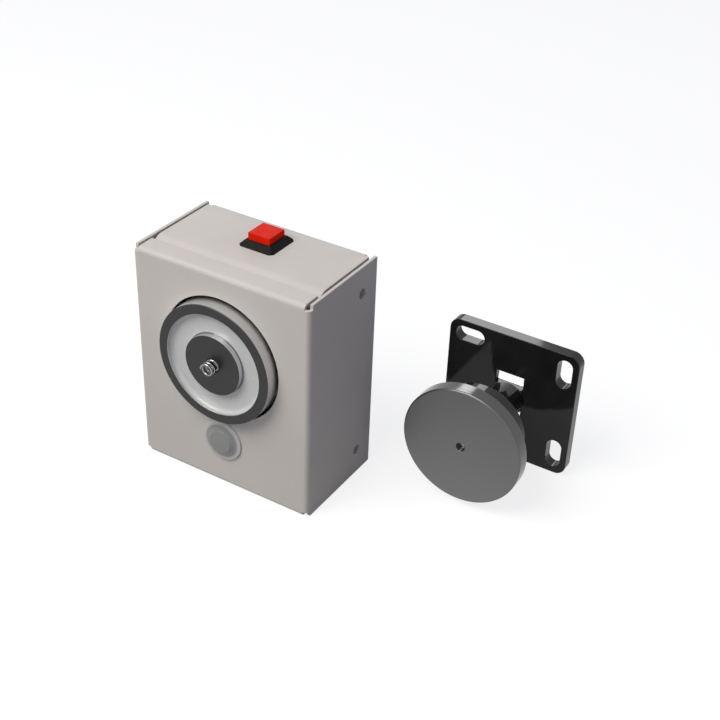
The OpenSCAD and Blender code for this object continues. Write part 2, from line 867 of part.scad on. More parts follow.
// Red cap, hollow below, with the plunger that carries the contact
module button_cap() {
    low = cap_top - ceiling_t - skirt_len;
    shoulder = -button_depth - pad_t - bridge_play;
    pin_end = shoulder - bridge_t - pin_out;
    color([0.85, 0.18, 0.13])
        on_button() {
            difference() {
                translate([-cap_w / 2, -cap_w / 2, low])
                    cube([cap_w, cap_w, cap_top - low]);
                translate([-cap_w / 2 + cap_wall, -cap_w / 2 + cap_wall, low - cut])
                    cube([cap_w - 2 * cap_wall, cap_w - 2 * cap_wall, skirt_len + cut]);
            }
            translate([0, 0, shoulder])
                cylinder(d = plunger_d, h = cap_top - ceiling_t / 2 - shoulder);
            translate([0, 0, pin_end])
                cylinder(d = plunger_d / 2, h = shoulder - pin_end + fit);
        }
}

// Return spring round the plunger
module button_spring() {
    seat = -button_depth + floor_t;
    color([0.80, 0.80, 0.80])
        on_button()
            translate([0, 0, seat + return_play])
                coil_spring(return_d, return_wire, return_pitch,
                    cap_top - ceiling_t - seat - 2 * return_play, 6, 12);
}

// Brass disc that bridges the two pads until the cap is pressed
module contact_bridge() {
    color([0.80, 0.66, 0.35])
        on_button()
            translate([0, 0, -button_depth - pad_t - bridge_t - bridge_play])
                difference() {
                    cylinder(d = bridge_d, h = bridge_t);
                    translate([0, 0, -cut])
                        cylinder(d = plunger_d / 2 + 0.04, h = bridge_t + 2 * cut);
                }
}

// Two terminals: a pad under the button's floor and a blade that leaves below
module button_terminals() {
    pad_in = plunger_d / 2 + 6 * fit;
    low = -button_depth - contact_depth - blade_out;
    color([0.82, 0.72, 0.45])
        on_button()
            mirror_both_x()
                difference() {
                    union() {
                        translate([pad_in, -blade_w / 2, -button_depth - pad_t])
                            cube([blade_x + blade_t - pad_in, blade_w, pad_t]);
                        translate([blade_x, -blade_w / 2, low])
                            cube([blade_t, blade_w, -button_depth - low]);
                    }
                    translate([blade_x - cut, 0, low + 1.5 * blade_hole_d])
                        rotate([0, 90, 0])
                            cylinder(d = blade_hole_d, h = blade_t + 2 * cut, $fn = 24);
                }
}

// Puts the children on the armature's axis, measured from the plate's front
module on_keeper() {
    outward(keeper_x, keeper_y - plate_t, keeper_z) children();
}

// Black plate with four slots and a window
module keeper_plate() {
    r = plate_corner;
    across = plate_half - slot_end;
    near = plate_half - slot_edge;
    color([0.10, 0.10, 0.11])
        on_keeper()
            translate([0, 0, -plate_t])
                difference() {
                    union() {
                        translate([-plate_half + r, -plate_half, 0])
                            cube([plate_w - 2 * r, plate_w, plate_t]);
                        translate([-plate_half, -plate_half + r, 0])
                            cube([plate_w, plate_w - 2 * r, plate_t]);
                        for (sx = [-1, 1], sy = [-1, 1])
                            translate([sx, sy, 0] * (plate_half - r))
                                cylinder(r = r, h = plate_t);
                    }
                    for (s = [-1, 1]) {
                        translate([-across, s * near, plate_t / 2])
                            slot_hole(slot_len, slot_w, plate_t + 2 * cut);
                        translate([near, s * across, plate_t / 2])
                            rotate([0, 0, 90]) slot_hole(slot_len, slot_w, plate_t + 2 * cut);
                    }
                    translate([-window_w / 2, -window_h / 2, -cut])
                        cube([window_w, window_h, plate_t + 2 * cut]);
                    translate([-window_w / 2 - recess_side, -window_h / 2 - recess_end, -cut])
                        cube([window_w + 2 * recess_side, window_h + 2 * recess_end,
                            recess_depth + cut]);
                }
}

// Black swivel housing: neck, cone and cup in one turned piece, with a square tang
module swivel_housing() {
    edge = 1;
    tang_len = plate_t - recess_depth - fit;
    color([0.08, 0.08, 0.09])
        on_keeper()
            difference() {
                union() {
                    rotate_extrude($fn = 96)
                        polygon([
                            [0, 0], [neck_d / 2, 0], [neck_d / 2, hub_back - hub_cone],
                            [hub_d / 2 - edge, hub_back - hub_shoulder], [hub_d / 2, hub_back],
                            [hub_d / 2, hub_front - edge], [hub_d / 2 - edge, hub_front],
                            [0, hub_front]
                        ]);
                    translate([-window_w / 2 + fit, -tang_h / 2, -tang_len])
                        cube([window_w - 2 * fit, tang_h, tang_len + 0.5]);
                }
                translate([0, 0, ball_at]) sphere(r = seat_r, $fn = 72);
                translate([0, 0, ball_at]) cylinder(r = seat_r, h = reach);
                translate([0, 0, hub_front - ring_len])
                    cylinder(r = ring_r + fit / 2, h = reach);
                translate([0, 0, -plate_t])
                    cylinder(d = m4_d + 0.04, h = plate_t + neck_bore);
            }
}

// Steel plate that clamps the tang from behind
module clamp_plate() {
    color([0.74, 0.75, 0.76])
        on_keeper()
            translate([0, 0, -plate_t])
                difference() {
                    translate([-window_w / 2 - clamp_side, -tang_h / 2, recess_depth - clamp_t])
                        cube([window_w + 2 * clamp_side, tang_h, clamp_t]);
                    translate([0, 0, recess_depth - clamp_t - 0.01])
                        cylinder(d1 = m4_head_d + 2 * fit, d2 = m4_d + 2 * fit, h = clamp_t + 0.02);
                }
}

// Countersunk screw that pulls the tang against the clamp plate
module clamp_screw() {
    color([0.78, 0.78, 0.78])
        on_keeper()
            translate([0, 0, -plate_t + recess_depth - clamp_t])
                difference() {
                    union() {
                        cylinder(d1 = m4_head_d, d2 = m4_d, h = clamp_t);
                        cylinder(d = m4_d, h = plate_t + neck_bore - tip_gap);
                    }
                    translate([0, 0, -cut]) cylinder(d = m4_hex, h = m4_hex_depth + cut, $fn = 6);
                }
}

// Ring that closes the swivel housing over the ball, with two spanner holes
module retaining_ring() {
    z0 = hub_front - ring_len + fit;
    flare_z = ball_at + ring_lip;
    flare_r = sqrt(pow(seat_r, 2) - pow(flare_z - ball_at, 2));
    color([0.20, 0.20, 0.21])
        on_keeper()
            difference() {
                translate([0, 0, z0]) cylinder(r = ring_r, h = hub_front - z0, $fn = 72);
                translate([0, 0, ball_at]) sphere(r = seat_r, $fn = 72);
                translate([0, 0, flare_z])
                    cylinder(r1 = flare_r, r2 = ring_flare, h = hub_front - flare_z + 0.01);
                for (s = [-1, 1])
                    translate([s * (ring_r + ring_flare) / 2, 0, hub_front - spanner_d])
                        cylinder(d = spanner_d, h = spanner_d + cut, $fn = 32);
            }
}

// Plastic shell round the ball, open at both ends
module ball_liner() {
    color([0.90, 0.90, 0.86])
        on_keeper()
            translate([0, 0, ball_at])
                difference() {
                    sphere(r = seat_r - liner_play, $fn = 72);
                    sphere(r = ball_r + liner_play, $fn = 72);
                    translate([0, 0, liner_front]) cylinder(r = seat_r, h = seat_r);
                    translate([0, 0, -liner_back - seat_r]) cylinder(r = seat_r, h = seat_r);
                }
}

// Steel ball with its stud
module ball_stud() {
    color([0.80, 0.81, 0.82])
        on_keeper() {
            translate([0, 0, ball_at]) sphere(r = ball_r, $fn = 72);
            translate([0, 0, ball_at])
                cylinder(d = stud_neck_d, h = disc_back - nut_t - stud_play - ball_at);
            translate([0, 0, ball_at]) cylinder(d = m6_d, h = stud_end - ball_at);
        }
}

// Thin nut that locks the stud in the disc
module lock_nut() {
    color([0.76, 0.77, 0.78])
        on_keeper()
            translate([0, 0, disc_back - nut_t - fit])
                difference() {
                    cylinder(d = nut_af / cos(30), h = nut_t, $fn = 6);
                    translate([0, 0, -cut]) cylinder(d = m6_d + 0.04, h = nut_t + 2 * cut);
                }
}

// Steel disc that the magnet holds
module armature_disc() {
    edge = 0.5;
    color([0.42, 0.42, 0.42])
        on_keeper()
            difference() {
                rotate_extrude($fn = 120)
                    polygon([
                        [0, disc_back], [disc_d / 2 - edge, disc_back],
                        [disc_d / 2, disc_back + edge], [disc_d / 2, reach - edge],
                        [disc_d / 2 - edge, reach], [0, reach]
                    ]);
                translate([0, 0, disc_back - cut])
                    cylinder(d = m6_d + 0.04, h = stud_end - disc_back + cut + 0.05);
                translate([0, 0, disc_back]) cylinder(d = disc_hole_d, h = disc_t + cut, $fn = 48);
            }
}

cover();
base_chassis();
blanking_plug();
magnet_pot();
coil_bobbin();
coil_winding();
potting_resin();
release_spring();
magnet_bracket();
bracket_screws();
magnet_screw();
lock_washer();
circuit_board();
board_posts();
board_screws();
terminal_block();
terminal_clamps();
terminal_screws();
diode();
button_housing();
button_cap();
button_spring();
contact_bridge();
button_terminals();
keeper_plate();
swivel_housing();
clamp_plate();
clamp_screw();
retaining_ring();
ball_liner();
ball_stud();
lock_nut();
armature_disc();
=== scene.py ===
# %% [markdown]
# An electromagnetic door holder comes in two halves. The wall half is a pot magnet in a
# folded sheet housing, with a red button that lets the door go. The door half is a steel
# disc on a ball joint, carried by a black plate with slots. This lesson dresses both:
# it loads the pieces at their real size, gives each its finish, rounds the edges that
# light catches, and winds the two springs that work by being pressed.

import json
import math

import bmesh
import bpy
from mathutils import Euler, Matrix, Vector


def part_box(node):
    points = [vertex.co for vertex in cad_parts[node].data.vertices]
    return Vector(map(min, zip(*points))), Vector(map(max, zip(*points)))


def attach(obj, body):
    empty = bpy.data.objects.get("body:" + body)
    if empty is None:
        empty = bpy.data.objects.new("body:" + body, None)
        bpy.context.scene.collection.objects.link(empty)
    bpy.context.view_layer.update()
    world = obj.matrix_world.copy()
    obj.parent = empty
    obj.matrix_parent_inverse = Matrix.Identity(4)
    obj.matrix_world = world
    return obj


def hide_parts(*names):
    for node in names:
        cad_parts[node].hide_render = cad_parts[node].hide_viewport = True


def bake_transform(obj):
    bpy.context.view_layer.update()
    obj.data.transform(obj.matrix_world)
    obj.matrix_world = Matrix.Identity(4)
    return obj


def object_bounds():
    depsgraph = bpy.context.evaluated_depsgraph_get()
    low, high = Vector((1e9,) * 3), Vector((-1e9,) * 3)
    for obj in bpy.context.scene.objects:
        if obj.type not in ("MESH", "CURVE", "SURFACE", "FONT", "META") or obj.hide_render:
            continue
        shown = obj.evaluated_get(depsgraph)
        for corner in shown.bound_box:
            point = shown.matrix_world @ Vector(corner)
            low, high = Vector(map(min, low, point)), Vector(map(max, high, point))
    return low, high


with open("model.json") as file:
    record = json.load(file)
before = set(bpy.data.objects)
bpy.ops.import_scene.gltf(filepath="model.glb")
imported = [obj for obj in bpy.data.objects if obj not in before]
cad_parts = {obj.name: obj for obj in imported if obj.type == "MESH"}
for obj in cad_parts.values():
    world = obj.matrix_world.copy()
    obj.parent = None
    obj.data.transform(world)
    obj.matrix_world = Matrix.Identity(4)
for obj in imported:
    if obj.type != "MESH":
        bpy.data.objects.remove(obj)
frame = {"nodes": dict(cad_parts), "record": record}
CAD_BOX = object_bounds()
RECORD = frame["record"]
MM = 0.001

# %% [markdown]
# The camera comes first, because every later choice is judged through it. It could be
# aimed at a target with a constraint, but a place and three angles are easier to read
# back: how far it stands round to the right, how far it looks down, and a small roll.
# The focal length is written in pixels of a 720 pixel frame, as it was measured.

# %% Camera
FRAME_PX = 720
SENSOR_WIDTH = 36.0
FOCAL_PX = 1297.5
AZIMUTH = math.radians(30.53)
ELEVATION = math.radians(33.33)
ROLL = math.radians(2.29)
CAMERA_AT = Vector((274.2, -402.0, 306.1)) * MM


def add_camera():
    camera = bpy.data.cameras.new("studio_camera")
    camera.sensor_width = SENSOR_WIDTH
    camera.lens = FOCAL_PX / FRAME_PX * SENSOR_WIDTH
    camera.clip_start = 0.01
    camera.clip_end = 20.0
    obj = bpy.data.objects.new("studio_camera", camera)
    bpy.context.scene.collection.objects.link(obj)
    turn = Euler((math.radians(90) - ELEVATION, 0, AZIMUTH)).to_matrix()
    obj.matrix_world = Matrix.Translation(CAMERA_AT) @ (turn @ Matrix.Rotation(ROLL, 3, "Z")).to_4x4()
    bpy.context.scene.camera = obj
    return obj


camera = add_camera()
print("lens:", round(camera.data.lens, 2), "mm")

# %% [markdown]
# Materials are node trees. Writing each link by hand hides what matters, so a few helpers
# do the plumbing: one makes a material with a Principled shader, one adds a node, and one
# gives a noise pattern in millimetres. All patterns read Object coordinates. The pieces
# sit at the origin at real size, so a pattern keeps its scale on every one of them.

# %% Helpers for materials
def srgb(r, g, b):
    """A colour as it is picked on screen, 0 to 255, turned into the linear light that shaders use."""
    def linear(c):
        c /= 255
        return c / 12.92 if c <= 0.04045 else ((c + 0.055) / 1.055) ** 2.4
    return (linear(r), linear(g), linear(b), 1.0)


class Finish:
    """A material under construction: its tree, its Principled shader and its coordinates."""

    def __init__(self, name, color, metallic=0.0, roughness=0.5, **sockets):
        self.material = bpy.data.materials.new(name)
        self.material.use_nodes = True
        self.tree = self.material.node_tree
        self.shader = self.tree.nodes["Principled BSDF"]
        self.coordinates = self.add("ShaderNodeTexCoord")
        self.set(**{"Base Color": color, "Metallic": metallic, "Roughness": roughness})
        self.set(**{name.replace("_", " "): value for name, value in sockets.items()})

    def set(self, **sockets):
        for name, value in sockets.items():
            self.shader.inputs[name].default_value = value

    def add(self, kind, **inputs):
        node = self.tree.nodes.new(kind)
        for name, value in inputs.items():
            node.inputs[name.replace("_", " ")].default_value = value
        return node

    def link(self, output, target):
        self.tree.links.new(output, target)

    def noise(self, size_mm, detail=2.0, stretch=(1, 1, 1)):
        """Noise whose grains are about size_mm across, drawn out along an axis by stretch."""
        mapping = self.add("ShaderNodeMapping", Scale=[1 / (size_mm * MM * s) for s in stretch])
        self.link(self.coordinates.outputs["Object"], mapping.inputs["Vector"])
        node = self.add("ShaderNodeTexNoise", Scale=1.0, Detail=detail)
        self.link(mapping.outputs["Vector"], node.inputs["Vector"])
        return node.outputs["Fac"]

    def along(self, axis, centre=(0, 0, 0)):
        """How far a point lies from centre along the axis X, Y or Z, in metres."""
        move = self.add("ShaderNodeMapping", Location=[-c for c in centre])
        self.link(self.coordinates.outputs["Object"], move.inputs["Vector"])
        split = self.add("ShaderNodeSeparateXYZ")
        self.link(move.outputs["Vector"], split.inputs["Vector"])
        return split.outputs[axis]

    def radius(self, centre):
        """How far a point lies from a line along Y through centre, in metres."""
        move = self.add("ShaderNodeMapping", Location=[-c for c in centre])
        self.link(self.coordinates.outputs["Object"], move.inputs["Vector"])
        flat = self.add("ShaderNodeVectorMath")
        flat.operation = "MULTIPLY"
        flat.inputs[1].default_value = (1, 0, 1)
        self.link(move.outputs["Vector"], flat.inputs[0])
        length = self.add("ShaderNodeVectorMath")
        length.operation = "LENGTH"
        self.link(flat.outputs["Vector"], length.inputs[0])
        return length.outputs["Value"]

    def rings(self, centre, size_mm):
        """Noise that runs in rings round a line along Y, as a lathe tool leaves it."""
        joined = self.add("ShaderNodeCombineXYZ")
        self.link(self.radius(centre), joined.inputs["X"])
        self.link(self.along("Y"), joined.inputs["Y"])
        scaled = self.add("ShaderNodeVectorMath")
        scaled.operation = "SCALE"
        scaled.inputs["Scale"].default_value = 1 / (size_mm * MM)
        self.link(joined.outputs["Vector"], scaled.inputs[0])
        node = self.add("ShaderNodeTexNoise", Scale=1.0, Detail=3.0)
        self.link(scaled.outputs["Vector"], node.inputs["Vector"])
        return node.outputs["Fac"]

    def spread(self, value, low, high, start=0.3, end=0.7):
        """Maps a pattern onto the range low to high."""
        node = self.add("ShaderNodeMapRange", **{"From_Min": start, "From_Max": end, "To_Min": low, "To_Max": high})
        self.link(value, node.inputs["Value"])
        return node.outputs["Result"]

    def vary_color(self, value, dark, light):
        """Base colour that moves between two close shades with a pattern."""
        mix = self.add("ShaderNodeMix")
        mix.data_type = "RGBA"
        mix.inputs[6].default_value = dark
        mix.inputs[7].default_value = light
        self.link(value, mix.inputs["Factor"])
        self.link(mix.outputs[2], self.shader.inputs["Base Color"])
        return mix

    def vary_roughness(self, value, low, high):
        self.link(self.spread(value, low, high), self.shader.inputs["Roughness"])

    def bump(self, value, height_mm, strength=1.0):
        node = self.add("ShaderNodeBump", Strength=strength, Distance=height_mm * MM)
        self.link(value, node.inputs["Height"])
        self.link(node.outputs["Normal"], self.shader.inputs["Normal"])
        return node


def shade(color, factor):
    """The same colour, darker or lighter."""
    return tuple(c * factor for c in color[:3]) + (1.0,)


# %% [markdown]
# The housing is powder coated. The powder melts into a skin that is never quite flat:
# seen close, it has the soft dimples that painters call orange peel, less than a
# millimetre across. A fine noise drives the bump, and a much larger one moves the tone
# and the gloss a little, as the coat's thickness does.

# %% Powder coat
def powder_coat():
    light_grey = srgb(195, 189, 183)
    finish = Finish("powder_coat", light_grey, roughness=0.58, Specular_IOR_Level=0.3)
    cloud = finish.noise(38, 3)
    finish.vary_color(finish.spread(cloud, 0, 1), shade(light_grey, 0.975), shade(light_grey, 1.025))
    finish.vary_roughness(finish.noise(6, 4), 0.54, 0.64)
    finish.bump(finish.noise(0.7, 2), 0.02, 0.35)
    return finish.material


# %% [markdown]
# The magnet is turned from soft iron. Its faces are ground and darkened, while its side
# keeps the brighter plating, so one material looks at which way the surface points: the
# Normal output of the coordinates is fixed to the object, and its Y part is nearly one on
# the faces. Lathe rings round the magnet's own axis carry the bump. The disc's face is
# painted a little darker toward its top and lighter toward its bottom: painted shade.

# %% Turned steel
def turned_steel(name, centre, face_color, side_color, face_roughness, side_roughness, painted_top_shade=1.0):
    finish = Finish(name, side_color, metallic=1.0, roughness=side_roughness)
    split = finish.add("ShaderNodeSeparateXYZ")
    finish.link(finish.coordinates.outputs["Normal"], split.inputs["Vector"])
    size = finish.add("ShaderNodeMath")
    size.operation = "ABSOLUTE"
    finish.link(split.outputs["Y"], size.inputs[0])
    is_face = finish.spread(size.outputs["Value"], 0, 1, 0.45, 0.65)
    tone = finish.vary_color(is_face, side_color, face_color)
    # Painted shade: the face colour darkens toward the top and lightens toward the bottom, by the factor given for the
    # top.
    painted_shade_slope = finish.add("ShaderNodeMix")
    painted_shade_slope.data_type = "RGBA"
    painted_shade_slope.inputs[6].default_value = shade(face_color, 2 - painted_top_shade)
    painted_shade_slope.inputs[7].default_value = shade(face_color, painted_top_shade)
    height = finish.along("Z", centre)
    finish.link(finish.spread(height, 0, 1, -0.025, 0.025), painted_shade_slope.inputs["Factor"])
    finish.link(painted_shade_slope.outputs[2], tone.inputs[7])
    rings = finish.rings(centre, 0.35)
    rough = finish.spread(is_face, side_roughness, face_roughness, 0, 1)
    added = finish.add("ShaderNodeMath")
    finish.link(rough, added.inputs[0])
    finish.link(finish.spread(rings, -0.06, 0.06), added.inputs[1])
    finish.link(added.outputs["Value"], finish.shader.inputs["Roughness"])
    finish.bump(rings, 0.004, 0.4)
    return finish.material


# %% [markdown]
# Plated small parts, spring wire, black oxide, brass and copper differ only in colour,
# gloss and grain, so one short recipe makes them all. The grain is a noise drawn out
# along the piece, as rolling and drawing leave it.

# %% Plain metals
def plain_metal(name, color, roughness, grain_mm=0.5, height_mm=0.004):
    finish = Finish(name, color, metallic=1.0, roughness=roughness)
    grain = finish.noise(grain_mm, 3, stretch=(1, 6, 1))
    finish.vary_color(finish.spread(grain, 0, 1), shade(color, 0.9), shade(color, 1.05))
    finish.vary_roughness(finish.noise(grain_mm * 4, 3), roughness * 0.8, roughness * 1.25)
    finish.bump(grain, height_mm, 0.4)
    return finish.material


# %% [markdown]
# A bright round wire in a white room would come out as a white worm. What shows its shape
# is the dark outline along each turn. On a metal, the shader's Specular Tint sets how much
# it mirrors at a steep angle, so a nearly black tint draws that outline by the gloss alone.

# %% Bright wire
def bright_wire(name, color, outline, roughness):
    finish = Finish(name, color, metallic=1.0, roughness=roughness, Specular_Tint=outline)
    finish.vary_roughness(finish.noise(1.2, 3), roughness * 0.8, roughness * 1.25)
    finish.bump(finish.noise(0.3, 3), 0.002, 0.4)
    return finish.material


# %% [markdown]
# The coil is one smooth ring in the solids. Its turns lie side by side along the magnet's
# axis, so a wave along Y stands for them, both as a bump and as painted shade: a darker
# line in each groove.

# %% Wound copper
def wound_copper(name, color, wire_mm):
    finish = Finish(name, color, metallic=1.0, roughness=0.3)
    scaled = finish.add("ShaderNodeMapping", Scale=[1 / (wire_mm * MM)] * 3)
    finish.link(finish.coordinates.outputs["Object"], scaled.inputs["Vector"])
    turns = finish.add("ShaderNodeTexWave", Scale=1 / 3.2, Distortion=0.3)
    turns.bands_direction = "Y"
    finish.link(scaled.outputs["Vector"], turns.inputs["Vector"])
    painted_groove_shade = finish.spread(turns.outputs["Fac"], 0, 1, 0.0, 0.4)
    # Painted shade: the colour darkens in each groove between the turns.
    finish.vary_color(painted_groove_shade, shade(color, 0.35), color)
    finish.bump(turns.outputs["Fac"], wire_mm / 3, 0.8)
    return finish.material


# %% [markdown]
# The diode is one node with its leads. Along X its finish changes twice: a pale ring marks
# one end of the black body, and past the body the wire is bare.

# %% Diode
def diode_finish(name, centre, body_half_mm, ring_mm):
    finish = Finish(name, srgb(22, 22, 23), roughness=0.35)
    across = finish.along("X", centre)
    size = finish.add("ShaderNodeMath")
    size.operation = "ABSOLUTE"
    finish.link(across, size.inputs[0])
    edge = body_half_mm * MM
    is_wire = finish.spread(size.outputs["Value"], 0, 1, edge, edge + 0.02 * MM)
    apart = finish.add("ShaderNodeMath")
    apart.operation = "COMPARE"
    apart.inputs[1].default_value = ring_mm * MM
    apart.inputs[2].default_value = 0.35 * MM
    finish.link(across, apart.inputs[0])
    ringed = finish.vary_color(apart.outputs["Value"], srgb(22, 22, 23), srgb(190, 190, 188))
    bare = finish.vary_color(is_wire, srgb(22, 22, 23), srgb(200, 201, 203))
    finish.link(ringed.outputs[2], bare.inputs[6])
    finish.link(is_wire, finish.shader.inputs["Metallic"])
    return finish.material


# %% [markdown]
# Moulded plastic takes the texture of its mould. A spark-eroded mould gives the fine even
# grain of the bezel and the plug, and a polished one the soft gloss of the red cap. The
# same recipe serves them, with the grain's size and height as its arguments.

# %% Moulded plastic
def moulded_plastic(name, color, roughness, grain_mm=0.25, height_mm=0.01, **sockets):
    finish = Finish(name, color, roughness=roughness, **sockets)
    cloud = finish.noise(9, 3)
    finish.vary_color(finish.spread(cloud, 0, 1), shade(color, 0.94), shade(color, 1.05))
    finish.vary_roughness(finish.noise(2.5, 3), roughness * 0.85, roughness * 1.15)
    finish.bump(finish.noise(grain_mm, 2), height_mm, 0.3)
    return finish.material


# %% [markdown]
# Two round plastic pieces change their tone with the distance from their axis. The plug is
# paler at its thin rim than at its boss. On the resin, a thin dark ring where it meets the
# pole is a painted shadow.

# %% Plastic with a tone that changes outward
def round_plastic(name, centre, inner_color, outer_color, start_mm, end_mm, roughness, grain_mm, height_mm, **sockets):
    finish = Finish(name, outer_color, roughness=roughness, **sockets)
    outward = finish.spread(finish.radius(centre), 0, 1, start_mm * MM, end_mm * MM)
    # On the resin the dark inner colour is a painted shadow round the pole; on the plug it is the darker colour of the
    # boss.
    finish.vary_color(outward, inner_color, outer_color)
    finish.vary_roughness(finish.noise(2.5, 3), roughness * 0.85, roughness * 1.15)
    finish.bump(finish.noise(grain_mm, 2), height_mm, 0.3)
    return finish.material


# %% [markdown]
# The door half is coated in a deep gloss black. A coat like this shows nearly nothing of
# its own colour: what the eye reads is what it mirrors. It stays very smooth, with only a
# long, low wave that bends the reflections a little.

# %% Gloss black coating
def gloss_black():
    black = (0.0125, 0.0125, 0.0128, 1.0)
    finish = Finish("gloss_black_coat", black, roughness=0.07, IOR=1.42, Specular_IOR_Level=0.32)
    wave = finish.noise(14, 2)
    finish.vary_color(finish.spread(wave, 0, 1), shade(black, 0.8), shade(black, 1.2))
    finish.vary_roughness(finish.noise(5, 3), 0.05, 0.1)
    finish.bump(wave, 0.02, 0.25)
    return finish.material


# %% One material for each slot of the record
def middle(node):
    low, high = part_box(node)
    return (low + high) / 2


magnet_axis = middle("magnet_pot")
disc_axis = middle("armature_disc")
plug_axis = middle("blanking_plug")
MATERIALS = {
    "painted_sheet": powder_coat(),
    "grey_plastic": round_plastic(
        "grey_plastic", plug_axis, srgb(128, 128, 127), srgb(180, 179, 176), 7.6, 8.6, 0.42, 0.25, 0.01),
    "magnet_steel": turned_steel(
        "magnet_steel", magnet_axis, srgb(62, 62, 62), srgb(212, 213, 215), 0.42, 0.36),
    # The disc's face is painted darker toward its top: painted shade.
    "armature_steel": turned_steel(
        "armature_steel", disc_axis, srgb(105, 105, 105), srgb(86, 86, 86), 0.4, 0.15, painted_top_shade=0.84),
    "natural_nylon": moulded_plastic("natural_nylon", srgb(226, 223, 208), 0.4),
    "copper_wire": wound_copper("copper_wire", srgb(205, 125, 80), 0.5),
    # The resin is painted dark close to the pole, out to about 14 mm from the axis: a painted shadow.
    "grey_resin": round_plastic(
        "grey_resin", magnet_axis, srgb(52, 52, 53), srgb(188, 188, 187), 13.8, 14.3, 0.25, 1.6, 0.02, Coat_Weight=0.2),
    "spring_steel": bright_wire("spring_steel", srgb(140, 141, 143), srgb(10, 10, 10), 0.12),
    "zinc_steel": plain_metal("zinc_steel", srgb(200, 202, 205), 0.28),
    "black_steel": plain_metal("black_steel", srgb(52, 52, 54), 0.4),
    "board_green": moulded_plastic("board_green", srgb(35, 110, 70), 0.35, 0.4),
    "green_plastic": moulded_plastic("green_plastic", srgb(55, 125, 80), 0.4),
    "brass_contact": plain_metal("brass_contact", srgb(212, 184, 120), 0.3),
    "black_plastic": moulded_plastic("black_plastic", srgb(13, 12, 12), 0.55, Specular_IOR_Level=0.1),
    "red_plastic": moulded_plastic("red_plastic", srgb(213, 28, 6), 0.5, 0.5, 0.004, Specular_IOR_Level=0.06),
    "gloss_black": gloss_black(),
}


def slot_of(node):
    return next(part["material_slot"] for part in RECORD["subparts"] if part["node"] == node)


def paint(obj, material):
    obj.data.materials.clear()
    obj.data.materials.append(material)


for name, obj in frame["nodes"].items():
    paint(obj, MATERIALS[slot_of(name)])
paint(frame["nodes"]["diode"], diode_finish("diode_finish", middle("diode"), 2.6, 1.7))
print("materials:", len(MATERIALS) + 1)

# %% [markdown]
# A folded sheet, a cut plate or a moulded cap never has a knife edge: the paint draws
# back, the saw mark is rubbed off, the mould has a radius. That narrow round is what
# catches the light along an edge. The solids come as loose triangles with sharp edges,
# so each visible piece gets a copy: its doubles are merged, its flat faces are joined
# again, and a Bevel modifier rounds what is sharper than a given angle.

# %% Round the edges that light catches
EDGE_ANGLE = math.radians(32)


def body_of(node):
    return next(body for body, members in RECORD["behaviour"]["bodies"].items() if node in members)


def mark_edges(bm, shortest_mm):
    """Gives each sharp edge full bevel weight, unless an edge shorter than this meets its ends."""
    weight = bm.edges.layers.float.new("bevel_weight_edge")
    for edge in bm.edges:
        if len(edge.link_faces) != 2 or edge.calc_face_angle() < EDGE_ANGLE:
            continue
        near = [other for vert in edge.verts for other in vert.link_edges]
        if min(other.calc_length() for other in near) > shortest_mm * MM:
            edge[weight] = 1.0


def soften(node, piece_name, round_mm, shortest_mm=0.0, segments=3):
    """A copy of a CAD node with rounded edges, which stands for the node."""
    source = frame["nodes"][node]
    mesh = source.data.copy()
    mesh.name = piece_name
    bm = bmesh.new()
    bm.from_mesh(mesh)
    bmesh.ops.remove_doubles(bm, verts=bm.verts, dist=0.002 * MM)
    bmesh.ops.dissolve_limit(bm, angle_limit=math.radians(0.5), verts=bm.verts, edges=bm.edges)
    for face in bm.faces:
        face.smooth = True
    mark_edges(bm, shortest_mm)
    bm.to_mesh(mesh)
    bm.free()
    mesh.set_sharp_from_angle(angle=EDGE_ANGLE)
    piece = bpy.data.objects.new(piece_name, mesh)
    bpy.context.scene.collection.objects.link(piece)
    bevel = piece.modifiers.new("rounded_edges", "BEVEL")
    bevel.width = round_mm * MM
    bevel.segments = segments
    bevel.limit_method = "WEIGHT"
    bevel.use_clamp_overlap = False
    bevel.harden_normals = True
    paint(piece, MATERIALS[slot_of(node)])
    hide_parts(node)
    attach(piece, body_of(node))
    return piece


SOFTENED = {
    "cover": ("painted_cover", 0.25, 0.0),
    "base_chassis": ("painted_chassis", 0.25, 0.3),
    "blanking_plug": ("moulded_plug", 0.15, 0.0),
    "button_housing": ("moulded_bezel", 0.12, 0.0),
    "button_cap": ("moulded_cap", 0.25, 0.0),
    "keeper_plate": ("coated_plate", 0.3, 0.0),
    "swivel_housing": ("coated_swivel", 0.3, 0.0),
    "armature_disc": ("ground_disc", 0.2, 0.0),
}


def sticks_out(piece, node):
    """How far the finished piece reaches past its node's box, in millimetres."""
    done = piece.evaluated_get(bpy.context.evaluated_depsgraph_get())
    low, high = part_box(node)
    corners = [Vector(corner) for corner in done.bound_box]
    past = [max(low[i] - corner[i], corner[i] - high[i]) for corner in corners for i in range(3)]
    return max(past) / MM


for node, (piece_name, round_mm, shortest_mm) in SOFTENED.items():
    piece = soften(node, piece_name, round_mm, shortest_mm)
    print(piece_name, "faces:", len(piece.data.polygons), "sticks out:", round(sticks_out(piece, node), 3), "mm")

# %% [markdown]
# Two springs work here. One sits in the pole and pushes the disc off when the current
# stops, and one lifts the button. A compression spring has open turns in its middle and
# closed turns at its ends. A spin with a step along its axis winds it: the wire's circle is
# carried round the axis, first close, then open, then close again, and the two ends are
# capped.

# %% Springs
WIRE_SIDES = 14
TURN_STEPS = 36
CLOSED_TURNS = 1
CLOSE_PITCH = 1.08


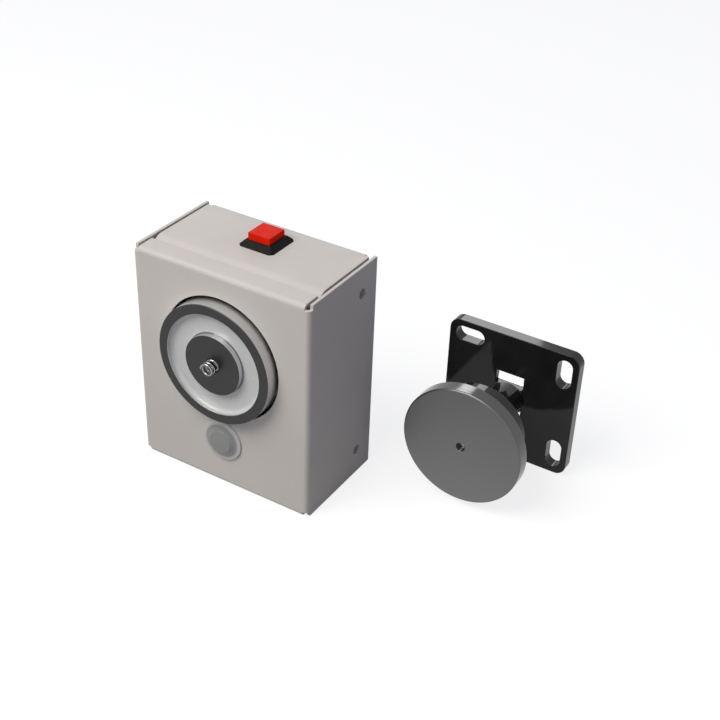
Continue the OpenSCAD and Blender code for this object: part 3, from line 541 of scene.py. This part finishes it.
def wind_spring(node, piece_name, wire_mm, open_turns, length, foot, turn):
    """A spring wound up local Z from its foot, then turned and moved to where the node stands."""
    low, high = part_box(node)
    wire = wire_mm * MM
    coil_r = (high.x - low.x - wire) / 2
    close = CLOSE_PITCH * wire
    open_pitch = (length - wire - 2 * CLOSED_TURNS * close) / open_turns
    bm = bmesh.new()
    circle = bmesh.ops.create_circle(
        bm, segments=WIRE_SIDES, radius=wire / 2, cap_ends=True,
        matrix=Matrix.Translation((coil_r, 0, wire / 2)) @ Matrix.Rotation(math.pi / 2, 4, "X"),
    )
    loop = list({edge for vert in circle["verts"] for edge in vert.link_edges})
    for turns, pitch in ((CLOSED_TURNS, close), (open_turns, open_pitch), (CLOSED_TURNS, close)):
        steps = round(turns * TURN_STEPS)
        made = bmesh.ops.spin(
            bm, geom=loop, cent=(0, 0, 0), axis=(0, 0, 1),
            dvec=(0, 0, pitch * turns / steps), angle=math.tau * turns, steps=steps,
        )
        loop = [item for item in made["geom_last"] if isinstance(item, bmesh.types.BMEdge)]
    bmesh.ops.contextual_create(bm, geom=loop)
    bmesh.ops.remove_doubles(bm, verts=bm.verts, dist=0.001 * MM)
    bmesh.ops.transform(bm, matrix=Matrix.Translation(foot) @ turn, verts=bm.verts)
    bmesh.ops.recalc_face_normals(bm, faces=bm.faces)
    for face in bm.faces:
        face.smooth = len(face.verts) == 4
    mesh = bpy.data.meshes.new(piece_name)
    bm.to_mesh(mesh)
    bm.free()
    piece = bpy.data.objects.new(piece_name, mesh)
    bpy.context.scene.collection.objects.link(piece)
    paint(piece, MATERIALS[slot_of(node)])
    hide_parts(node)
    return piece


low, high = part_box("release_spring")
release_spring = wind_spring(
    "release_spring", "wound_release_spring", 1.1, 5.5, high.y - low.y,
    foot=((low.x + high.x) / 2, high.y, (low.z + high.z) / 2), turn=Matrix.Rotation(math.pi / 2, 4, "X"),
)
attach(release_spring, body_of("release_spring"))

low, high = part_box("button_spring")
foot = Vector(((low.x + high.x) / 2, (low.y + high.y) / 2, low.z))
button_spring = wind_spring(
    "button_spring", "wound_button_spring", 0.6, 5.5, high.z - low.z, foot=foot, turn=Matrix.Identity(4),
)
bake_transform(button_spring)
for piece, node in ((release_spring, "release_spring"), (button_spring, "button_spring")):
    print(piece.name, "faces:", len(piece.data.polygons), "sticks out:", round(sticks_out(piece, node), 3), "mm")

# %% [markdown]
# The studio is a pale floor that runs into a white world. Camera and mirror rays see them
# as white. All other rays meet a mid grey floor and a dim, slightly blue sky, because a
# white room would fill every shadow. The floor keeps a share of real shading, so that the
# object's soft shadow still lies on it.

# %% Floor
FLOOR_Z = CAD_BOX[0][2]
FLOOR_SIZE = 6.0
SKY_COLOR = (0.28, 0.293, 0.366, 1.0)
FLOOR_GLOW = 0.8
FLOOR_SEEN = 0.26
FLOOR_BOUNCE = 0.3


def seen_directly(tree):
    """One for camera, mirror and clear rays, and nothing for all others."""
    path = tree.nodes.new("ShaderNodeLightPath")
    total = path.outputs["Is Camera Ray"]
    for name in ("Is Glossy Ray", "Is Transmission Ray"):
        larger = tree.nodes.new("ShaderNodeMath")
        larger.operation = "MAXIMUM"
        tree.links.new(total, larger.inputs[0])
        tree.links.new(path.outputs[name], larger.inputs[1])
        total = larger.outputs["Value"]
    return total


def floor_material():
    material = bpy.data.materials.new("pale_floor")
    material.use_nodes = True
    tree = material.node_tree
    tree.nodes.clear()
    output = tree.nodes.new("ShaderNodeOutputMaterial")
    bounce = tree.nodes.new("ShaderNodeBsdfDiffuse")
    bounce.inputs["Color"].default_value = (FLOOR_BOUNCE,) * 3 + (1.0,)
    seen = tree.nodes.new("ShaderNodeBsdfDiffuse")
    seen.inputs["Color"].default_value = (FLOOR_SEEN,) * 3 + (1.0,)
    glow = tree.nodes.new("ShaderNodeEmission")
    glow.inputs["Strength"].default_value = FLOOR_GLOW
    both = tree.nodes.new("ShaderNodeAddShader")
    tree.links.new(seen.outputs[0], both.inputs[0])
    tree.links.new(glow.outputs[0], both.inputs[1])
    mix = tree.nodes.new("ShaderNodeMixShader")
    tree.links.new(seen_directly(tree), mix.inputs[0])
    tree.links.new(bounce.outputs[0], mix.inputs[1])
    tree.links.new(both.outputs[0], mix.inputs[2])
    tree.links.new(mix.outputs[0], output.inputs["Surface"])
    return material


def add_floor():
    bm = bmesh.new()
    bmesh.ops.create_grid(bm, x_segments=1, y_segments=1, size=FLOOR_SIZE / 2)
    bmesh.ops.translate(bm, verts=bm.verts, vec=(0, 0, FLOOR_Z))
    mesh = bpy.data.meshes.new("studio_floor")
    bm.to_mesh(mesh)
    bm.free()
    mesh.materials.append(floor_material())
    floor = bpy.data.objects.new("studio_floor", mesh)
    bpy.context.scene.collection.objects.link(floor)
    return floor


add_floor()

# %% World
world = bpy.data.worlds.new("studio_world")
world.use_nodes = True
bpy.context.scene.world = world
sky = world.node_tree.nodes["Background"]
mix = world.node_tree.nodes.new("ShaderNodeMix")
mix.data_type = "RGBA"
mix.inputs[6].default_value = SKY_COLOR
mix.inputs[7].default_value = (1.0, 1.0, 1.0, 1.0)
world.node_tree.links.new(seen_directly(world.node_tree), mix.inputs["Factor"])
world.node_tree.links.new(mix.outputs[2], sky.inputs["Color"])

# %% [markdown]
# One large softbox high on the left of the front does the modelling: the top is the
# brightest face, the front comes next and the right side falls into the dim sky. A second,
# smaller one stands behind on the left. It hardly adds light, but the black plate's top
# edge and the disc's rim mirror it. Each is given by the direction it stands in, and its
# power follows from how bright it should look and how large it is.

# %% Lights
TARGET = Vector((30.0, 0.0, -10.0)) * MM


def softbox(name, direction, distance, width, height, radiance, color):
    light = bpy.data.lights.new(name, "AREA")
    light.shape = "RECTANGLE"
    light.size = width
    light.size_y = height
    light.energy = radiance * math.pi * width * height
    light.color = color
    obj = bpy.data.objects.new(name, light)
    bpy.context.scene.collection.objects.link(obj)
    way = Vector(direction).normalized()
    obj.location = TARGET + way * distance
    obj.rotation_euler = way.to_track_quat("Z", "Y").to_euler()
    return obj


softbox("key_softbox", (-0.25, -0.55, 0.77), 1.2, 0.8, 0.75, 7.05, (1.0, 0.99, 0.92))
rim_light = softbox("back_softbox", (-0.43, 0.72, 0.55), 1.4, 0.6, 0.3, 5.0, (1.0, 1.0, 1.0))
rim_light.visible_diffuse = False

# %% View settings and the end
bpy.context.scene.view_settings.view_transform = "Standard"
